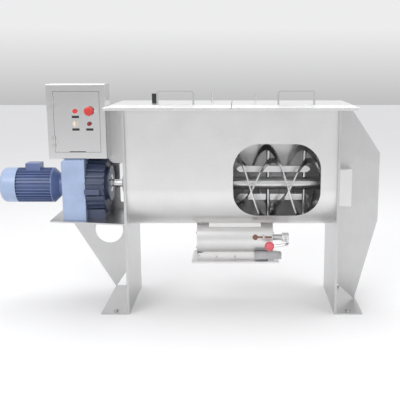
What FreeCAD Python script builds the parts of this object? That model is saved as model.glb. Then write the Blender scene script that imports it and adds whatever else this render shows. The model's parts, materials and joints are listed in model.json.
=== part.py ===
import FreeCAD, Part
import math
import os
from FreeCAD import Vector

# Ribbon blender with a foot-mounted gearmotor, in millimetres.
# While modelling, X runs along the agitator shaft from the middle of the trough, Y runs to the back
# from the shaft, and Z runs up from the floor. The finished model is moved so that its origin is the
# bottom centre of the whole machine.

# ---- trough and end plates ----
trough_length = 900.0          # inside, between the end plates
trough_radius = 180.0          # inside
trough_wall = 3.0
shaft_height = 554.0
rim_rise = 346.0               # top of the flange above the shaft
end_plate = 10.0
end_plate_margin = 17.0        # beyond the trough, in front and behind
flange_sheet = 6.0
flange_side_reach = 78.0       # beyond the end plates
flange_front_reach = 3.0       # in front of the end plates
flange_back_reach = 15.0       # behind the end plates
flange_corner = 6.0
mullion_width = 30.0           # bar between the two lid openings
opening_corner = 8.0
window_end_gap = 69.5          # window to right end plate
window_width = 375.0
window_below = 122.0           # under the shaft
window_above = 198.0
window_corner = 112.0

# ---- feet and side plates ----
foot_width = 115.0
foot_sheet = 6.0
foot_bolt_inset = 30.0         # from the front and back edges of the foot
foot_bolt_out = 54.0           # from the end plate
web_sheet = 6.0
web_reach = 204.0              # from the right end plate
web_top_inset = 10.0           # from the flange's end
web_shoulder_drop = 208.0      # below the rim
web_elbow_height = 384.0
web_foot_inset = 8.0           # from the foot's outer edge
web_notch_height = 105.0
bolt_thread = 10.0             # diameter of the frame bolts
bolt_play = 0.5                # radial, in clearance holes

# ---- agitator ----
shaft_radius = 30.0
journal_radius = 17.5
shaft_end_gap = 5.0            # between the thick shaft and the end plates
shaft_tail = 10.0              # beyond the right bearing
spoke_spacing = 163.0
spoke_radius = 9.0
spoke_end_gap = 22.0           # last spoke to end plate
ribbon_gap = 5.0               # outer ribbon to trough
outer_ribbon_width = 27.0
inner_ribbon_radius = 113.0    # outside edge
inner_ribbon_width = 22.0
ribbon_sheet = 6.0
ribbon_start = 5.0             # each ribbon half starts this far from the middle
tie_bar_width = 28.0
tie_bar_sheet = 6.0
tie_bar_gap = 11.0             # inside the inner ribbon
tie_bar_start = 22.0
tie_bar_reach = 24.0           # beyond the outermost spoke that it lies on
weld_gap = 0.1
running_gap = 0.05             # radial, shaft in bearing
key_width = 10.0
key_depth = 3.0

# ---- shaft bearings and seals ----
seal_wall = 8.5
bearing_wall = 13.5
bearing_width = 16.0
bearing_boss_wall = 11.0
bearing_boss_reach = 30.0      # from the end plate
bearing_flange_sheet = 12.0
bearing_flange_margin = 14.0   # outside the bolts
bearing_flange_corner = 10.0
guard_reach = 70.0
guard_half_depth = 80.0
guard_below = 96.0             # under the shaft
guard_above = 73.0
guard_sheet = 2.0
guard_corner = 6.0
fit_gap = 0.3                  # between plates that only pass each other

# ---- gearbox ----
drive_gap = 83.0               # left end plate to the gearbox's output face
shelf_drop = 145.0             # top of the drive shelf below the shaft
shelf_sheet = 6.0
shelf_margin = 53.0            # beyond the gearbox
shelf_front_depth = 139.0      # half depth at its free end
slab_length = 102.0
slab_half_depth = 120.0
slab_gap = 1.0                 # under the control box
slab_chamfer = 25.0
slab_chamfer_drop = 7.0
slab_corner = 14.0
slab_floor = 8.0
slab_cavity_corner = 20.0
case_wall = 12.0
drum_length = 81.0
drum_drop = 12.0               # its middle below the shaft
drum_radius = 118.0
drum_wall = 11.0
drum_draft = 5.0
rib_height = 11.0
rib_root = 4.0
rib_thick = 6.0
rib_count = 26
lug_reach = 65.0
lug_height = 24.0
lug_drop = 7.0                 # below the drum's middle
lug_out = 22.0
lug_root = 12.0
lug_corner = 4.0
pad_height = 40.0
pad_share = 0.72               # of the drum's half width
neck_radius = 72.0
neck_length = 11.0
neck_root = 2.0
disc_radius = 80.0
disc_thick = 6.0
motor_drop = 8.0               # its axis below the shaft
pinion_teeth = 12
wheel_teeth = 60
first_module = 2.0
second_module = 2.2
first_face = 22.0
second_face = 26.0
first_gear_gap = 30.0          # from the slab's left face
second_gear_gap = 17.0         # from the slab's right face
tooth_top = 0.9                # of the module
tooth_root = 1.15
tooth_share = 0.22             # half a tooth at the pitch circle, of one pitch
pressure_angle = 20.0
pinion_bore_share = 0.55
lay_radius = 12.5
output_radius = 27.5
output_nose = 2.0              # hollow shaft beyond the output face
output_bearing_depth = 18.0
gear_bearing_depth = 9.0
gear_bearing_wall = 11.0
shaft_hole_gap = 6.0           # radial, where a shaft passes a wall
gearbox_bolt_depth = 7.0       # thread in the casting
gearbox_bolt_share = 0.6       # of the drum's radius

# ---- motor ----
motor_core_radius = 68.0
motor_wall = 8.0
fin_height = 10.0
fin_root = 4.0
fin_end_gap = 6.0
motor_flange = 28.0            # shield's end to the gearbox
shield_length = 29.0
shield_radius = 50.0
barrel_length = 161.0
fin_count = 32
fin_thick = 3.0
stator_wall = 19.0
rotor_gap = 0.5
stator_left_gap = 26.0
stator_right_gap = 30.0
rotor_shaft_radius = 12.0
motor_bearing_wall = 12.0
motor_bearing_width = 10.0
motor_bell = 8.0               # depth of the cone inside the drive end
motor_bell_step = 16.0
motor_through_gap = 4.0
fan_cover_length = 73.0
fan_cover_corner = 22.0
fan_cover_sheet = 2.5
fan_slot_count = 12
fan_slot_start = 16.0
fan_slot_end = 44.0
fan_slot_half = 3.0
fan_tip_gap = 16.0             # to the cover
fan_width = 26.0
fan_gap = 4.0                  # to the motor's end
fan_disc = 3.0
fan_hub_wall = 8.0
fan_blades = 7
fan_blade_half = 1.2
terminal_inset = 39.0          # from the barrel's left end
terminal_length = 65.0
terminal_half_depth = 32.0
terminal_rise = 66.0           # its underside above the motor's axis
terminal_height = 36.0
terminal_wall = 3.0

# ---- drive bracket ----
brace_sheet = 6.0
brace_inset = 51.0             # from the shelf's free end
brace_tip_reach = 79.0
brace_tip_height = 66.0
brace_root_height = 185.0
brace_hole_radius = 63.0
brace_hole_reach = 103.0
brace_hole_drop = 71.0         # below the shelf's top
back_plate_sheet = 5.0
back_plate_reach = 140.0
back_plate_gap = 3.0           # behind the gearbox's ribs
slot_left_reach = 69.0
slot_right_reach = 10.0
slot_below = 114.0             # under the shaft
slot_above = 71.0
slot_corner = 8.0
box_plate_reach = 240.0
box_plate_drop = 255.0         # below the rim, next to the trough
box_plate_raise = 59.0         # its underside under the box
box_plate_step = 96.0
box_plate_corner = 30.0

# ---- control box ----
box_gap = 3.0                  # to the trough's flange
box_width = 254.0
box_depth = 105.0
box_drop = 222.0               # its underside below the rim
box_rise = 100.0               # its top above the rim
box_sheet = 2.0
box_corner = 4.0
door_left_margin = 30.0
door_right_margin = 27.0
door_low_margin = 30.0
door_high_margin = 32.0
door_gap = 1.2
door_sheet = 2.0
door_return = 8.0
door_pin_radius = 2.5
door_knuckle_wall = 2.0
door_knuckle_length = 16.0
door_hinge_length = 48.0
door_hinge_inset = 45.0        # from the door's top and bottom
door_leaf = 2.0
door_leaf_reach = 16.0
pull_width = 69.0
pull_height = 3.0
pull_shift = 2.0
keeper_reach = 14.0
keeper_half = 18.0
column_left_margin = 93.0      # from the door's left edge
row_high_margin = 83.0         # from the door's top edge
row_spacing = 54.0
latch_inset = 14.0
latch_knob_radius = 8.5
latch_knob_thick = 8.0
latch_grip = 4.0
latch_grip_half = 2.5
latch_cam_half = 6.0
latch_cam_sheet = 2.5
latch_overlap = 6.0
label_width = 31.0
label_height = 10.0
label_drop = 25.0
label_sheet = 0.8
panel_hole = 11.0              # radius of the button holes
stem_radius = 7.0
estop_radius = 20.0
estop_gap = 1.5                # to the latch knob
estop_head = 12.0
estop_travel = 5.0
button_travel = 3.0
button_head = 4.0
start_radius = 10.5
stop_radius = 9.5
selector_base = 5.0
selector_grip = 8.0
selector_half_low = 4.5
selector_half_high = 2.5
selector_low = 10.0
selector_high = 13.0
ring_sizes = ((16.0, 5.0), (14.0, 4.0), (12.5, 4.0), (12.0, 4.0))   # radius, reach
barrel_reach = 30.0            # button barrel behind the door's face
barrel_bore = 24.0
contact_half_width = 13.0
contact_half_height = 16.0
contact_depth = 22.0
spacer_length = 6.0
spacer_radius = 6.0
spacer_inset = 36.0
mount_plate_sheet = 2.0
mount_plate_inset = 22.0
contactor_inset = 60.0         # from the box's left side and underside
contactor_width = 45.0
contactor_height = 70.0
contactor_depth = 34.0
contactor_step = 6.0
terminal_count = 6
terminal_pitch = 14.0
terminal_depth = 28.0
rail_end = 4.0
rail_depth = 7.0
rail_height = 35.0

# ---- lids ----
lid_split = 2.0                # half the gap between the lids
hinge_inset = 10.0             # pin to the flange's back edge
lid_back_gap = 10.0            # lid to pin
lid_rise = 13.0
lid_bevel = 30.0
lid_sheet = 2.0
lid_rim = 17.0
gasket_thick = 2.0
gasket_width = 10.0
gasket_inset = 4.0
hinge_lift = 7.0               # pin above the flange
knuckle_radius = 5.5
hinge_pin_radius = 2.5
knuckle_length = 20.0
knuckle_gap = 0.4
hinge_leaf = 2.0
hinge_foot = 1.0
hinge_offset = 170.0           # from the middle of each lid
handle_length = 160.0
handle_height = 59.0
handle_width = 22.0
handle_sheet = 7.0
handle_corner = 12.0
handle_inset = 93.0            # from the lid's front edge
left_handle_shift = 30.0       # from the middle of its lid
right_handle_shift = 6.0
post_radius = 4.0
post_height = 33.0
post_collar = 3.0
post_inset = 55.0              # from the lid's back edge
left_post_shift = 178.0
right_post_shift = -162.0
sensor_shift = -70.0
sensor_back = -10.0
sensor_width = 24.0
sensor_depth = 18.0
sensor_height = 40.0
sensor_corner = 3.0

# ---- discharge valve ----
valve_middle = 13.0
valve_length = 330.0
saddle_wall = 2.0              # drum wall left under the trough
valve_radius = 80.0
valve_wall = 12.0
plug_gap = 0.4
plug_end_gap = 1.0
port_length = 226.0
port_width = 96.0
port_wall = 4.0
throat_share = 0.9             # of the trough's radius, how far down the throat starts
cap_thick = 6.0
valve_journal = 14.0
hub_gap = 43.0                 # from the right cap
hub_length = 32.0
hub_radius = 22.0
hub_socket = 4.0
hub_corner = 3.0
lever_reach = 85.0             # ball's middle outside the drum
lever_root = 6.0
lever_rod = 6.0
ball_radius = 21.5
ball_shift = 63.0              # ball's middle inside the hub
ball_socket_share = 0.5
knee_inset = 23.0
knee_reach = 48.0              # outside the drum
lever_bend = 26.0
chute_drop = 89.0              # flange's top below the valve's axis
chute_flange_sheet = 8.0
chute_left_reach = 29.0        # beyond the drum
chute_right_reach = 27.0       # beyond the right cap
chute_front_reach = 36.0       # beyond the hood
chute_sheet = 3.0
chute_rim = 20.0               # outside the hood, at its two ends
hood_taper = 30.0              # of each end, over the hood's height
hood_margin = 12.0             # outside the port
chute_bolt_inset = 9.0
chute_hole = 4.5
apron_length = 252.0
apron_height = 31.0
apron_sheet = 3.0
apron_sag = 22.0
apron_screw_spacing = 83.0
apron_screw_drop = 17.0        # below the apron's top edge
switch_gap = 2.0               # from the apron
switch_length = 120.0
switch_height = 28.0
switch_depth = 28.0
switch_foot_height = 10.0
switch_foot_inset = 58.0
switch_foot_length = 28.0
switch_inset = 4.0             # behind the flange's front edge
switch_corner = 2.0
switch_lid = 2.5
switch_lid_inset = 3.0
cap_screw = 5.0                # thread diameter
cap_screw_length = 18.0
cap_screw_angles = (20, 150, 205, 325)
latch_bolt_length = 80.0       # knob's middle to the right cap's face
latch_bolt_out = 4.0           # outside the drum
latch_bolt_rise = 21.0         # above the valve's axis
latch_bolt_radius = 4.0
latch_bolt_tip = 2.0
latch_bolt_knob = 12.0
latch_bolt_stroke = 14.0
latch_lug_thick = 8.0
latch_lug_wall = 4.5

# ---- places worked out from the sizes above ----
half_length = trough_length / 2
outer_face = half_length + end_plate
wall_radius = trough_radius + trough_wall
rim_height = shaft_height + rim_rise
end_plate_depth = 2 * (wall_radius + end_plate_margin)
flange_under = rim_height - flange_sheet
flange_end = outer_face + flange_side_reach
flange_front = end_plate_depth / 2 + flange_front_reach
flange_back = end_plate_depth / 2 + flange_back_reach
window_right = half_length - window_end_gap
window_low = shaft_height - window_below
window_high = shaft_height + window_above
web_top_reach = flange_side_reach - web_top_inset
web_shoulder_height = rim_height - web_shoulder_drop
web_foot_reach = foot_width - web_foot_inset

ribbon_radius = trough_radius - ribbon_gap
ribbon_pitch = 2 * spoke_spacing
last_spoke = half_length - spoke_end_gap
inner_spokes = int((last_spoke - 2 * spoke_radius) // spoke_spacing)
inner_places = [spoke_spacing * i for i in range(-inner_spokes, inner_spokes + 1)]
spoke_places = [-last_spoke] + inner_places + [last_spoke]
tie_bar_radius = inner_ribbon_radius - inner_ribbon_width - tie_bar_gap - tie_bar_width / 2
tie_bar_end = inner_spokes * spoke_spacing + tie_bar_reach

seal_radius = journal_radius + seal_wall
bearing_radius = journal_radius + bearing_wall
bearing_boss_radius = bearing_radius + bearing_boss_wall
bearing_bolt_offset = bearing_boss_radius
bearing_flange = 2 * (bearing_bolt_offset + bearing_flange_margin)
guard_low = shaft_height - guard_below
guard_high = shaft_height + guard_above

box_right = -flange_end - box_gap
box_left = box_right - box_width
box_low = rim_height - box_drop
box_high = rim_height + box_rise
door_left = box_left + door_left_margin
door_right = box_right - door_right_margin
door_low = box_low + door_low_margin
door_high = box_high - door_high_margin
column_left = door_left + column_left_margin
column_right = door_right - latch_inset - latch_knob_radius - estop_gap - estop_radius
row_high = door_high - row_high_margin
row_low = row_high - row_spacing

disc_right = -outer_face - drive_gap
disc_left = disc_right - disc_thick
drum_right = disc_left - neck_length
drum_height = shaft_height - drum_drop
slab_right = drum_right - drum_length
slab_left = slab_right - slab_length
shelf_height = shaft_height - shelf_drop
slab_height = box_low - slab_gap - shelf_height
shelf_far = slab_left - shelf_margin
first_gear_left = slab_left + first_gear_gap
second_gear_left = slab_right + second_gear_gap
motor_height = shaft_height - motor_drop
first_centres = first_module * (pinion_teeth + wheel_teeth) / 2
second_centres = second_module * (pinion_teeth + wheel_teeth) / 2
lay_height = ((second_centres**2 - first_centres**2) - (shaft_height**2 - motor_height**2)) / (
    2 * (motor_height - shaft_height))
lay_back = math.sqrt(first_centres**2 - (lay_height - motor_height) ** 2)
motor_radius = motor_core_radius + fin_height
motor_bore = motor_core_radius - motor_wall
shield_right = slab_left - motor_flange
motor_right = shield_right - shield_length
motor_left = motor_right - barrel_length
fan_cover_left = motor_left - fan_cover_length
fan_cover_radius = motor_radius
fan_radius = fan_cover_radius - fan_tip_gap
stator_radius = motor_bore - stator_wall
stator_left = motor_left + stator_left_gap
stator_right = motor_right - stator_right_gap
terminal_left = motor_left + terminal_inset
terminal_right = terminal_left + terminal_length
terminal_low = motor_height + terminal_rise
terminal_high = terminal_low + terminal_height

brace_hole_height = shelf_height - brace_hole_drop
back_plate_high = flange_under
slot_low = shaft_height - slot_below
slot_high = shaft_height + slot_above
box_plate_low = rim_height - box_plate_drop
box_plate_raised = box_plate_low + box_plate_raise

seat = rim_height + gasket_thick
crown = seat + lid_rise
lid_middle = (lid_split + flange_end) / 2
hinge_back = flange_back - hinge_inset
hinge_height = rim_height + hinge_lift
lid_back = hinge_back - lid_back_gap
handle_back = handle_inset - flange_front
left_handle_x = left_handle_shift - lid_middle
right_handle_x = right_handle_shift + lid_middle
post_back = lid_back - post_inset
left_post_x = left_post_shift - lid_middle
right_post_x = right_post_shift + lid_middle
sensor_x = sensor_shift - lid_middle

bore_radius = valve_radius - valve_wall
valve_height = shaft_height - wall_radius - saddle_wall - bore_radius
valve_left = valve_middle - valve_length / 2
valve_right = valve_middle + valve_length / 2
cap_right = valve_right + cap_thick
port_left = valve_middle - port_length / 2
port_right = valve_middle + port_length / 2
hub_left = cap_right + hub_gap
hub_right = hub_left + hub_length
lever_radius = valve_radius + lever_reach
lever_knee_x = hub_left + knee_inset
lever_knee_radius = valve_radius + knee_reach
ball_x = hub_left - ball_shift
hood_half_depth = port_width / 2 + hood_margin
chute_flange_high = valve_height - chute_drop
chute_flange_left = valve_left - chute_left_reach
chute_flange_right = cap_right + chute_right_reach
chute_flange_depth = hood_half_depth + chute_front_reach
apron_left = valve_left
apron_right = apron_left + apron_length
apron_screw_left = valve_middle - apron_screw_spacing
switch_left = apron_right + switch_gap
switch_foot_left = switch_left + switch_foot_inset
latch_bolt_left = cap_right - latch_bolt_length
latch_bolt_back = -valve_radius - latch_bolt_out
latch_bolt_height = valve_height + latch_bolt_rise


def block(x0, x1, y0, y1, z0, z1):
    return Part.makeBox(x1 - x0, y1 - y0, z1 - z0, Vector(x0, y0, z0))


def rod(start, direction, radius, length):
    return Part.makeCylinder(radius, length, Vector(*start), Vector(*direction))


def rod_x(x0, x1, y, z, radius):
    return rod((x0, y, z), (1, 0, 0), radius, x1 - x0)


def rod_y(x, y0, y1, z, radius):
    return rod((x, y0, z), (0, 1, 0), radius, y1 - y0)


def rod_z(x, y, z0, z1, radius):
    return rod((x, y, z0), (0, 0, 1), radius, z1 - z0)


def ring_x(x0, x1, y, z, inside, outside):
    return rod_x(x0, x1, y, z, outside).cut(rod_x(x0, x1, y, z, inside))


def face_of(points):
    corners = [Vector(*point) for point in points]
    return Part.Face(Part.makePolygon(corners + corners[:1]))


def plate_xz(points, y0, y1):
    return face_of([(x, y0, z) for x, z in points]).extrude(Vector(0, y1 - y0, 0))


def plate_yz(points, x0, x1):
    return face_of([(x0, y, z) for y, z in points]).extrude(Vector(x1 - x0, 0, 0))


def plate_xy(points, z0, z1):
    return face_of([(x, y, z0) for x, y in points]).extrude(Vector(0, 0, z1 - z0))


def rounded(shape, direction, radius):
    """Round the straight edges of a shape that run along a direction."""
    axis = Vector(*direction)
    chosen = []
    for edge in shape.Edges:
        along = edge.Vertexes[-1].Point.sub(edge.Vertexes[0].Point)
        if along.Length > 0 and abs(abs(along.normalize().dot(axis)) - 1.0) < 1e-6:
            chosen.append(edge)
    return shape.makeFillet(radius, chosen)


def turned(profile, y, z):
    """Revolve an outline of (x, radius) points about the line through y and z along X."""
    outline = face_of([(x, y, z + radius) for x, radius in profile])
    return outline.revolve(Vector(0, y, z), Vector(1, 0, 0), 360)


def fused(shapes):
    return shapes[0].multiFuse(shapes[1:]).removeSplitter()


def hexagon(start, direction, across_flats, thick):
    corner = across_flats / math.sqrt(3)
    points = [(corner * math.cos(math.radians(60 * i)), corner * math.sin(math.radians(60 * i)), 0)
              for i in range(6)]
    head = face_of(points).extrude(Vector(0, 0, thick))
    head.Placement = FreeCAD.Placement(
        Vector(*start), FreeCAD.Rotation(Vector(0, 0, 1), Vector(*direction)))
    return head


def bolt(seat, direction, diameter, shank):
    """A hexagon bolt with a washer; its head stands on the seat and its shank goes the other way."""
    out = Vector(*direction)
    washer_thick = 0.2 * diameter
    head_base = Vector(*seat).add(Vector(out).multiply(washer_thick))
    washer = rod(seat, direction, diameter, washer_thick)
    head = hexagon(tuple(head_base), direction, 1.6 * diameter, 0.65 * diameter)
    back = Vector(out).multiply(-1)
    stem = rod(seat, tuple(back), diameter / 2, shank)
    return fused([washer, head, stem])


def drilled(shape, fasteners):
    """Take the room of screws and pins out of a shape."""
    return shape.cut(Part.makeCompound(fasteners))


def toothed(teeth, module, width, x0, y, z, tooth_angle):
    """A spur gear along X with straight-flanked teeth, one of them centred at tooth_angle."""
    pitch_radius = teeth * module / 2
    tip = pitch_radius + tooth_top * module
    root = pitch_radius - tooth_root * module
    half = tooth_share * 360.0 / teeth
    slope = math.degrees(math.tan(math.radians(pressure_angle)) * module / pitch_radius)
    points = []
    for i in range(teeth):
        middle = tooth_angle + 360.0 * i / teeth
        for radius, offset in ((root, -half - tooth_root * slope), (tip, -half + tooth_top * slope),
                               (tip, half - tooth_top * slope), (root, half + tooth_root * slope)):
            angle = math.radians(middle + offset)
            points.append((x0, y + radius * math.cos(angle), z + radius * math.sin(angle)))
    return face_of(points).extrude(Vector(width, 0, 0))


def spoke_angle(x):
    """Degrees by which the ribbons have turned at a distance from the middle."""
    return 360.0 * abs(x) / ribbon_pitch


# ---- trough ----
def trough_section(radius, top):
    """A solid with the trough's U section along the whole length."""
    straight = block(-half_length, half_length, -radius, radius, shaft_height, top)
    return straight.fuse(rod_x(-half_length, half_length, 0, shaft_height, radius)).removeSplitter()


def window_cutter():
    opening = block(window_right - window_width, window_right,
                    -wall_radius - 1, -trough_radius / 2, window_low, window_high)
    return rounded(opening, (0, 1, 0), window_corner)


def make_trough():
    shell = trough_section(wall_radius, flange_under).cut(trough_section(trough_radius, flange_under))
    port = block(port_left, port_right, -port_width / 2, port_width / 2,
                 valve_height, shaft_height)
    return shell.cut(window_cutter()).cut(port)


def make_flange():
    plate = block(-flange_end, flange_end, -flange_front, flange_back, flange_under, rim_height)
    for side in (-1, 1):
        ends = sorted((side * mullion_width / 2, side * half_length))
        opening = block(ends[0], ends[1], -trough_radius, trough_radius, flange_under, rim_height)
        plate = plate.cut(rounded(opening, (0, 0, 1), opening_corner))
    outer_corners = [edge for edge in plate.Edges
                     if abs(edge.BoundBox.XLength) + abs(edge.BoundBox.YLength) < 1e-6
                     and abs(abs(edge.BoundBox.XMin) - flange_end) < 1e-6]
    return plate.makeFillet(flange_corner, outer_corners)


def make_end_plate(side):
    inner, outer = sorted((side * half_length, side * outer_face))
    depth = end_plate_depth / 2
    plate = block(inner, outer, -depth, depth, 0, flange_under)
    plate = plate.cut(rod_x(inner, outer, 0, shaft_height, seal_radius))
    return drilled(plate, make_bearing_bolts())


def make_foot(side):
    inner, outer = sorted((side * outer_face, side * (outer_face + foot_width)))
    depth = end_plate_depth / 2
    plate = block(inner, outer, -depth, depth, 0, foot_sheet)
    for y in (-depth + foot_bolt_inset, depth - foot_bolt_inset):
        x = side * (outer_face + foot_bolt_out)
        plate = plate.cut(rod_z(x, y, 0, foot_sheet, bolt_thread / 2 + bolt_play))
    return plate


def make_foot_bolts():
    bolts = []
    for side in (-1, 1):
        for back in (-1, 1):
            x = side * (outer_face + foot_bolt_out)
            y = back * (end_plate_depth / 2 - foot_bolt_inset)
            bolts.append(bolt((x, y, foot_sheet), (0, 0, 1), bolt_thread, foot_sheet))
    return bolts


def make_web():
    inner = outer_face
    points = [(inner, flange_under), (inner + web_top_reach, flange_under),
              (inner + web_reach, web_shoulder_height), (inner + web_reach, web_elbow_height),
              (inner + web_foot_reach, foot_sheet), (inner, web_notch_height)]
    plate = plate_xz(points, -web_sheet / 2, web_sheet / 2)
    room = block(inner, inner + guard_reach + fit_gap, -web_sheet, web_sheet,
                 guard_low - fit_gap, guard_high + fit_gap)
    return plate.cut(room)


# ---- shaft bearings, seals and guard ----
def bearing_bolt_places():
    offset = bearing_bolt_offset
    return [(y, shaft_height + z) for y in (-offset, offset) for z in (-offset, offset)]


def make_bearing_housing(side):
    inner, outer = sorted((side * outer_face, side * (outer_face + bearing_flange_sheet)))
    half = bearing_flange / 2
    flange = block(inner, outer, -half, half, shaft_height - half, shaft_height + half)
    flange = rounded(flange, (1, 0, 0), bearing_flange_corner)
    ends = sorted((side * outer_face, side * (outer_face + bearing_boss_reach)))
    boss = rod_x(ends[0], ends[1], 0, shaft_height, bearing_boss_radius)
    housing = flange.fuse(boss)
    pocket = sorted((side * (outer_face + bearing_boss_reach - bearing_width),
                     side * (outer_face + bearing_boss_reach)))
    housing = housing.cut(rod_x(pocket[0], pocket[1], 0, shaft_height, bearing_radius))
    housing = housing.cut(rod_x(ends[0], ends[1], 0, shaft_height, seal_radius))
    return drilled(housing.removeSplitter(), make_bearing_bolts())


def make_bearing_bolts():
    bolts = []
    for side in (-1, 1):
        head = side * (outer_face + bearing_flange_sheet)
        for y, z in bearing_bolt_places():
            shank = bearing_flange_sheet + end_plate
            bolts.append(bolt((head, y, z), (side, 0, 0), bolt_thread, shank))
    return bolts


def make_shaft_bearings():
    rings = []
    for side in (-1, 1):
        far = side * (outer_face + bearing_boss_reach)
        near = far - side * bearing_width
        ends = sorted((near, far))
        rings.append(ring_x(ends[0], ends[1], 0, shaft_height,
                            journal_radius + running_gap, bearing_radius))
    return rings


def make_shaft_seals():
    rings = []
    for side in (-1, 1):
        ends = sorted((side * half_length, side * outer_face))
        rings.append(ring_x(ends[0], ends[1], 0, shaft_height,
                            journal_radius + running_gap, seal_radius))
    return rings


def make_bearing_guard():
    outside = block(outer_face, outer_face + guard_reach, -guard_half_depth, guard_half_depth,
                    guard_low, guard_high)
    outside = rounded(outside, (1, 0, 0), guard_corner)
    inside = block(outer_face, outer_face + guard_reach - guard_sheet,
                   guard_sheet - guard_half_depth, guard_half_depth - guard_sheet,
                   guard_low + guard_sheet, guard_high - guard_sheet)
    return outside.cut(inside)


# ---- agitator ----
def spoke_rod(x):
    angle = math.radians(spoke_angle(x))
    direction = (0, -math.sin(angle), math.cos(angle))
    reach = ribbon_radius - outer_ribbon_width - weld_gap
    start = (x, -reach * direction[1], shaft_height - reach * direction[2])
    return rod(start, direction, spoke_radius, 2 * reach)


def make_spokes():
    return [spoke_rod(x) for x in spoke_places]


def make_agitator_shaft():
    thick_end = half_length - shaft_end_gap
    left_end = slab_right - gear_bearing_depth + fit_gap
    right_end = outer_face + bearing_boss_reach + shaft_tail
    shaft = fused([rod_x(-thick_end, thick_end, 0, shaft_height, shaft_radius),
                   rod_x(left_end, right_end, 0, shaft_height, journal_radius)])
    for spoke in make_spokes():
        shaft = shaft.cut(spoke)
    return shaft.cut(output_key())


def ribbon_half(outside, width, beside):
    """A right-handed strip along +X whose middle line meets every spoke, or lies beside it."""
    middle = outside - width / 2
    length = last_spoke - ribbon_start
    lean = math.hypot(2 * math.pi * middle, ribbon_pitch) / (2 * math.pi * middle)
    aside = beside * (spoke_radius + ribbon_sheet / 2) * lean
    helix = Part.makeHelix(ribbon_pitch, length, middle)
    lead = Vector(0, 2 * math.pi * middle, ribbon_pitch).normalize()
    across = Vector(0, -lead.z, lead.y).multiply(ribbon_sheet / 2)
    corners = []
    for radius, side in ((outside - width, -1), (outside, -1), (outside, 1), (outside - width, 1)):
        corners.append(Vector(radius, 0, 0).add(Vector(across).multiply(side)))
    profile = Part.makePolygon(corners + corners[:1])
    strip = Part.Wire(helix.Edges).makePipeShell([profile], True, True)
    strip.rotate(Vector(0, 0, 0), Vector(0, 1, 0), 90)
    strip.rotate(Vector(0, 0, 0), Vector(1, 0, 0), spoke_angle(ribbon_start))
    strip.translate(Vector(ribbon_start + aside, 0, 0))
    return strip


def ribbon_set(outside, width, opposite):
    """Two starts, each from the middle to both ends, pushing product towards or from the middle."""
    strips = []
    base = ribbon_half(outside, width, 1 if opposite else 0)
    if opposite:
        base = base.mirror(Vector(0, 0, 0), Vector(0, 1, 0))
    for start in (0, 180):
        strip = base.copy()
        strip.rotate(Vector(0, 0, 0), Vector(1, 0, 0), start)
        for half in (strip, strip.mirror(Vector(0, 0, 0), Vector(1, 0, 0))):
            half.translate(Vector(0, 0, shaft_height))
            strips.append(half)
    return strips


def make_outer_ribbons():
    return ribbon_set(ribbon_radius, outer_ribbon_width, False)


def make_inner_ribbons():
    return ribbon_set(inner_ribbon_radius, inner_ribbon_width, True)


def make_tie_bars():
    bars = []
    low = tie_bar_radius - tie_bar_width / 2
    high = tie_bar_radius + tie_bar_width / 2
    taper = tie_bar_width / 2
    cut = tie_bar_width / 3
    points = [(tie_bar_start, low + cut), (tie_bar_start + taper, low),
              (tie_bar_end - taper, low), (tie_bar_end, low + cut),
              (tie_bar_end, high - cut), (tie_bar_end - taper, high),
              (tie_bar_start + taper, high), (tie_bar_start, high - cut)]
    front = plate_xz(points, -spoke_radius - tie_bar_sheet, -spoke_radius)
    for turn in (0, 180):
        bar = front.copy()
        bar.rotate(Vector(0, 0, 0), Vector(1, 0, 0), turn)
        for half in (bar, bar.mirror(Vector(0, 0, 0), Vector(1, 0, 0))):
            half.translate(Vector(0, 0, shaft_height))
            bars.append(half)
    return bars


# ---- gearbox ----
def make_case():
    """The first-stage casting: a tall slab with chamfered top edges, a floor and bearing seats."""
    top = shelf_height + slab_height
    outline = [(-slab_half_depth, shelf_height), (slab_half_depth, shelf_height),
               (slab_half_depth, top - slab_chamfer_drop),
               (slab_half_depth - slab_chamfer, top),
               (slab_chamfer - slab_half_depth, top),
               (-slab_half_depth, top - slab_chamfer_drop)]
    slab = plate_yz(outline, slab_left, slab_right)
    front_corner = [(slab_left, -slab_half_depth), (slab_left + slab_corner, -slab_half_depth),
                    (slab_left, slab_corner / 2 - slab_half_depth)]
    slab = slab.cut(plate_xy(front_corner, shelf_height, top))
    top_corner = [(slab_left, top), (slab_left + slab_corner, top),
                  (slab_left, top - slab_corner)]
    slab = slab.cut(plate_xz(top_corner, -slab_half_depth, slab_half_depth))
    cavity = block(slab_left + case_wall, slab_right - case_wall,
                   case_wall - slab_half_depth, slab_half_depth - case_wall,
                   shelf_height + slab_floor, top - case_wall - slab_chamfer_drop)
    slab = slab.cut(rounded(cavity, (1, 0, 0), slab_cavity_corner))
    inner_left = slab_left + case_wall
    slab = slab.cut(rod_x(slab_left, inner_left, 0, motor_height,
                          rotor_shaft_radius + shaft_hole_gap))
    slab = slab.cut(rod_x(inner_left - gear_bearing_depth, inner_left, lay_back, lay_height,
                          lay_radius + running_gap + gear_bearing_wall))
    slab = slab.cut(rod_x(slab_right - case_wall, slab_right, lay_back, lay_height,
                          lay_radius + shaft_hole_gap))
    slab = slab.cut(rod_x(slab_right - gear_bearing_depth, slab_right, 0, shaft_height,
                          output_radius + running_gap + gear_bearing_wall))
    return drilled(slab, make_gearbox_bolts())


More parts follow.
